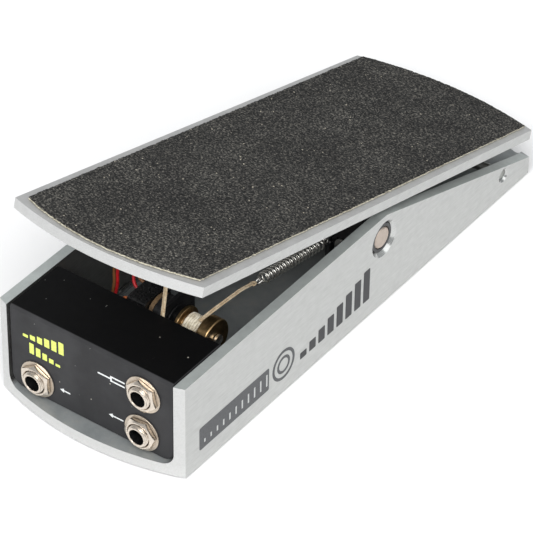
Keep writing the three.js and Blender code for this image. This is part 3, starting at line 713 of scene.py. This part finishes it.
def cord_strands(name, points, gap_mm, radius_mm):
    """A doubled cord: two twisted strands side by side."""
    path = smooth_path(points, 0.3)
    _, side, _ = directions(path)
    strands = [tube(f"{name}_{word}", path + side * sign * gap_mm * MM / 2, radius_mm, MATERIALS["cord"],
                    lobes=3, twist_mm=sign * TWIST)
               for word, sign in (("left", -1), ("right", 1))]
    return joined(name, strands)


def build_cords():
    build_toe_cord()
    build_heel_cord()
    build_cord_loop()


def build_toe_cord():
    """From the spool down round the guide pin and up to the screw under the treadle."""
    y, z, reach = GUIDE["y"], GUIDE["z"], GUIDE["reach"]
    spool_y, spool_z = SPOOL_AXIS.y / MM, SPOOL_AXIS.z / MM - FOOT_PROUD
    diagonal = reach * math.sqrt(0.5)
    anchor = on_treadle(*ANCHOR)
    route = [
        at(15.7, spool_y - 6.9, spool_z + 0.6), at(15.5, spool_y - 7.5, spool_z - 4.5),
        at(13.7, y + reach + 1.2, z + 8), at(12.5, y + reach, z + 0.5),
        at(12.3, y + diagonal, z - diagonal), at(12.0, y, z - reach), at(11.7, y - diagonal, z - diagonal),
        at(11.5, y - reach, z + 0.5), at(11.1, y - reach + 1.3, z + 7), anchor,
    ]
    toe = cord_strands("toe_cord", route, gap_mm=1.55, radius_mm=0.55)
    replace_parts(toe, "cord_toe_run")
    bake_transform(toe)


def build_heel_cord():
    """From the top of the spool to the loop on the spring."""
    spool_y, spool_z = SPOOL_AXIS.y / MM, SPOOL_AXIS.z / MM - FOOT_PROUD
    route = [
        at(21.3, spool_y - 1.5, spool_z + 6.8), at(21.5, spool_y + 6, spool_z + 6.9), at(22.0, -62, 39.3),
        at(22.4, -55, 39.1), at(22.6, -51.0, 38.4), at(22.75, -47.6, 37.7),
    ]
    heel = cord_strands("heel_cord", route, gap_mm=0.85, radius_mm=HEEL_CORD_RADIUS)
    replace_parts(heel, "cord_heel_run")
    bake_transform(heel)


def build_cord_loop():
    """The loop of the heel cord round the hook of the spring."""
    centre = at(22.8, -47.4, 37.6)
    points = []
    for angle in np.linspace(math.radians(-200), math.radians(20), 30):
        cosine, sine = math.cos(angle), math.sin(angle)
        points.append(centre + Vector((0.9 * cosine, -1.9 * sine - 0.4, 0.35 * sine)) * MM)
    path = evenly(np.array([tuple(point) for point in points]), 0.25)
    loop = tube("cord_loop", path, HEEL_CORD_RADIUS, MATERIALS["cord"], lobes=3, twist_mm=TWIST)
    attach(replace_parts(loop, "cord_end_ferrule"), "cord_end")


def build_windings():
    """Turns of the cord on the spool, a little uneven, and growing towards the drum."""
    angles = np.linspace(0, 2 * math.pi * WINDINGS["turns"], WINDINGS["turns"] * 48)
    count = len(angles)
    wander = 0.35 * np.sin(angles + 0.4) + 0.1 * np.sin(0.83 * angles)
    x = (np.linspace(WINDINGS["first_x"], WINDINGS["last_x"], count) + wander) * MM
    swell = 0.07 * np.sin(0.37 * angles)
    radius = (np.linspace(WINDINGS["first_radius"], WINDINGS["last_radius"], count) + swell) * MM
    y, z = SPOOL_AXIS.y + radius * np.cos(angles), SPOOL_AXIS.z + radius * np.sin(angles)
    path = evenly(np.stack([x, y, z], 1), 0.5)
    winding = tube("wound_cord", path, WINDINGS["cord"], MATERIALS["winding"], lobes=2, twist_mm=4.5)
    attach(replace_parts(winding, "cord_windings"), "spool")


def build_spring():
    """The extension spring: close to its coil a hook reaches out at each end."""
    start, end = at(*SPRING["start"]), at(*SPRING["end"])
    run = end - start
    along = np.array(run.normalized())
    side = np.array((1.0, 0.0, 0.0))
    side = side - side.dot(along) * along
    side /= np.linalg.norm(side)
    up = np.cross(along, side)
    length, radius, turns = run.length, SPRING["radius"] * MM, SPRING["turns"]
    hook, eye = HOOK["length"] * MM, HOOK["eye"] * MM
    s = np.linspace(0, 1, turns * 26)
    angle = (s * turns * 2 * math.pi)[:, None]
    closing = np.clip(np.minimum(s, 1 - s) / 0.012, 0.35, 1)[:, None]
    coil = (np.array(start) + along * (hook + s[:, None] * (length - 2 * hook))
            + radius * closing * (side * np.cos(angle) + up * np.sin(angle)))
    bend = np.linspace(math.radians(250), math.radians(-10), 16)[:, None]
    first_hook = np.array(start) + along * (1.1 * MM) + eye * (up * np.cos(bend) - along * np.sin(bend))
    bend = bend[::-1]
    last_hook = np.array(end) - along * (0.6 * MM) + eye * (up * np.cos(bend) + along * np.sin(bend))
    path = evenly(np.vstack([first_hook, coil, last_hook]), 0.55)
    spring = tube("spring_coil", path, SPRING["wire"], MATERIALS["spring"], sides=10, first=tuple(up))
    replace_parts(spring, "extension_spring")
    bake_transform(spring)


def build_wires():
    """The leads from the jacks to the potentiometer."""
    routes = {
        "wire_brown": ("wire_brown", "wire_brown_cover", [
            (-27.2, -92.6, 14.5), (-27.0, -89, 15.5), (-24.4, -78, 25), (-23.4, -75.6, 33),
            (-23.3, -75, 41.5), (-21.6, -71.5, 44.8), (-15.5, -70, 43.6), (-12.6, -73.3, 40.2),
            (-9.5, -73.5, 39)]),
        "wire_red": ("wire_red", "wire_red_cover", [
            (-24.2, -92.6, 16.5), (-24.0, -89, 17.5), (-22.2, -79, 26), (-21.7, -75.8, 33),
            (-21.6, -75.2, 41), (-20.2, -72.8, 44.2), (-15.6, -73.4, 44.2), (-12.4, -77, 40.6),
            (-9.5, -78, 38.4)]),
        "wire_red_return": ("wire_red", "wire_red_cover", [
            (-9.5, -71.4, 31), (-12.4, -70.6, 30.6), (-14.8, -74, 27), (-15, -86, 21), (-12, -97.5, 19.4),
            (0, -101.5, 19.2), (16.7, -101.5, 17)]),
        "wire_orange": ("wire_orange", "wire_orange_cover", [
            (-9.5, -82.4, 36.2), (-12, -82.8, 36.6), (-12.8, -87, 35.4), (-9.5, -93, 34), (2, -97.4, 34),
            (17.6, -98.5, 34)]),
    }
    for node, (material, slot, points) in routes.items():
        path = smooth_path([at(*point) for point in points], 0.9)
        wire = tube(f"{node}_lead", path, LEAD_RADIUS, MATERIALS[material])
        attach(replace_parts(wire, node), "base")


# ---------------------------------------------------------------- spool screw
def build_spool_screw():
    """A pan-head screw along +X at the end of the spool, its slot 20 degrees from upright."""
    face = SPOOL_AXIS.copy()
    face.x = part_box("spool")[1].x
    head, slot_half, cosine, sine = SCREW["radius"], SCREW["slot_half"], 0.94, 0.34
    rows = np.linspace(-1, 1, 25)
    across = sorted({*(head * rows), -slot_half - 0.02, -slot_half, slot_half, slot_half + 0.02})
    vertices = []
    for b in across:
        half = math.sqrt(max(head * head - b * b, 0.0004))
        for t in rows:
            a = half * t
            bulge = SCREW["crown"] - 0.5 * (a * a + b * b) / head**2
            height = bulge - (SCREW["slot_depth"] if abs(b) <= slot_half else 0)
            turned_point = (SCREW["rim"] + height, a * cosine - b * sine, b * cosine + a * sine)
            vertices.append(face + Vector(turned_point) * MM)
    faces = grid_faces(len(across), len(rows))
    rim = grid_rim(len(across), len(rows))
    base = len(vertices)
    for index in rim:
        low = vertices[index].copy()
        low.x = face.x + SCREW["rim"] * MM
        vertices.append(low)
    count = len(rim)
    for i in range(count):
        j = (i + 1) % count
        faces.append((rim[j], rim[i], base + i, base + j))
    faces.append(tuple(base + i for i in range(count)))
    screw = mesh_object("spool_slotted_screw", vertices, faces, [MATERIALS["steel"]])
    round_normals(screw, 30)
    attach(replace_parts(screw, "spool_screw"), "spool")


# ---------------------------------------------------------------- grip sheet
def build_grip():
    """A sheet of grit on a tan backing, with a slightly ragged edge and real grains."""
    rng = np.random.default_rng(7)
    across, along = 116, 340
    edge_drop = 0.12
    ragged = rng.normal(0, 0.16, (along, 2))
    grains = rng.normal(0, 0.09, (along, across)) + 0.05 * np.sin(rng.uniform(0, 6.28, (along, across)))
    grains[[0, -1], :] = -edge_drop
    grains[:, [0, -1]] = -edge_drop
    vertices = []
    for i, t in enumerate(np.linspace(0, 1, along)):
        for j, s in enumerate(np.linspace(-1, 1, across)):
            wobble = ragged[i, 0] if j == 0 else ragged[i, 1] if j == across - 1 else 0
            x = (GRIP["half_width"] + GRIP["widening"] * t) * s + wobble
            toe = GRIP["toe"] + GRIP["toe_sag"] * s * s + (ragged[j, 0] if i == 0 else 0)
            heel = GRIP["heel"] - GRIP["heel_sag"] * s * s + (ragged[-1 - j, 1] if i == along - 1 else 0)
            vertices.append(on_treadle(x, toe + (heel - toe) * t, GRIP["top"] + grains[i, j]))
    faces = grid_faces(along, across)
    picks = [0] * len(faces)
    rim = grid_rim(along, across)
    centre = on_treadle(0, -9.5, GRIP["top"])
    down = on_treadle(0, 0, GRIP["bottom"]) - on_treadle(0, 0, GRIP["top"] - edge_drop)
    first = len(vertices)
    for drop, spread in ((0.45, 0.3), (1, 1)):
        for index in rim:
            outward = (vertices[index] - centre).normalized() * 0.35 * MM
            vertices.append(vertices[index] + down * drop + outward * spread)
    count = len(rim)
    for i in range(count):
        j = (i + 1) % count
        faces.append((rim[j], rim[i], first + i, first + j))
        faces.append((first + j, first + i, first + count + i, first + count + j))
        picks += [0, 1]
    faces.append(tuple(first + count + i for i in reversed(range(count))))
    picks.append(1)
    sheet = mesh_object("grit_sheet", vertices, faces, [MATERIALS["grit"], MATERIALS["backing"]],
                        face_materials=picks)
    round_normals(sheet, 50)
    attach(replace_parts(sheet, "grip_sheet"), "treadle")


# ---------------------------------------------------------------- printed marks
def on_panel(across, up, out):
    """A point out mm in front of the panel with the jacks."""
    return at(across, PANEL_Y - out, up)


def on_wall(across, up, out):
    """A point out mm outside the right wall."""
    return at(WALL_X + out, across, up)


def on_band(across, up, out):
    """Just in front of the ink of the band on the wall."""
    return on_wall(across, up, out + 0.04)


def arrow(tip, tail, middle):
    """An arrow that points towards -X, from tail to tip."""
    shaft, head, length = 0.32, 1.05, 1.9
    neck = tip + length
    return [(tip, middle), (neck, middle - head), (neck, middle - shaft), (tail, middle - shaft),
            (tail, middle + shaft), (neck, middle + shaft), (neck, middle + head)]


def bars(first, pitch, width, base, heights, corner):
    """A row of bars of the given heights."""
    return [rectangle(first + i * pitch, first + i * pitch + width, base, base + height, corner)
            for i, height in enumerate(heights)]


def printed_rings(name, centre, middle, radii, place, material, body):
    """Round lines of ink about one centre. Each pair of radii is (outer, inner)."""
    steps = 48
    vertices = []
    faces = []
    for outer, inner in radii:
        first = len(vertices)
        section = ((outer, INK_BACK), (outer, INK_FRONT), (inner, INK_FRONT), (inner, INK_BACK))
        for i in range(steps):
            angle = 2 * math.pi * i / steps
            for radius, out in section:
                across, up = centre + radius * math.cos(angle), middle + radius * math.sin(angle)
                vertices.append(place(across, up, out))
        for i in range(steps):
            a, b = first + 4 * i, first + 4 * ((i + 1) % steps)
            for j in range(4):
                k = (j + 1) % 4
                faces.append((a + j, b + j, b + k, a + k))
    obj = mesh_object(name, vertices, faces, [material], smooth=False)
    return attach(obj, body)


def build_marks():
    """Generic marks: bars and socket symbols on the panel, and a band, rings and bars on the wall."""
    yellow, white = MATERIALS["yellow_ink"], MATERIALS["white_ink"]
    dark, black, light = MATERIALS["dark_ink"], MATERIALS["black_ink"], MATERIALS["light_ink"]
    rising = bars(-33.0, 3.5, 2.5, 31.6, [1.4, 2.3, 3.2, 4.1, 5.0, 5.9], 0.2)
    falling = bars(-30.0, 3.2, 2.2, 24.6, [5.2, 4.2, 3.2, 2.2, 1.2], 0.2)
    printed("volume_bars", rising + falling, on_panel, yellow, "base")
    fork = [rectangle(3.4, 9.4, 31.75, 32.45, 0.15), rectangle(9.4, 10.2, 30.75, 33.45, 0.1),
            rectangle(10.2, 16.4, 32.75, 33.45, 0.15), rectangle(10.2, 16.4, 30.75, 31.45, 0.15)]
    arrows = [arrow(-15.4, -10.4, 13.9), arrow(8.4, 15.4, 13.8)]
    printed("socket_marks", [*arrows, *fork], on_panel, white, "base")
    printed("wall_band", [rectangle(-110.3, -66.0, 7.6, 18.6, 0.8)], on_wall, dark, "base")
    ticks = [rectangle(-107.4 + i * 3.95, -106.6 + i * 3.95, 10.2, 10.2 + 1.6 + 0.42 * i)
             for i in range(11)]
    printed("wall_band_ticks", ticks, on_band, light, "base")
    printed_rings("wall_dial", -56.5, 13.9, [(7.3, 5.9), (4.2, 2.9)], on_wall, dark, "base")
    wall_bars = bars(-45.5, 6.1, 4.3, 8.6, [3.2, 5.0, 6.8, 8.6, 10.4, 12.2, 14.0, 15.8], 0.4)
    printed("wall_bars", wall_bars, on_wall, black, "base")


# ---------------------------------------------------------------- the scene
build_camera()
build_studio()
finish_nodes()
build_jacks()
build_cords()
build_windings()
build_spring()
build_wires()
build_spool_screw()
build_grip()
build_marks()
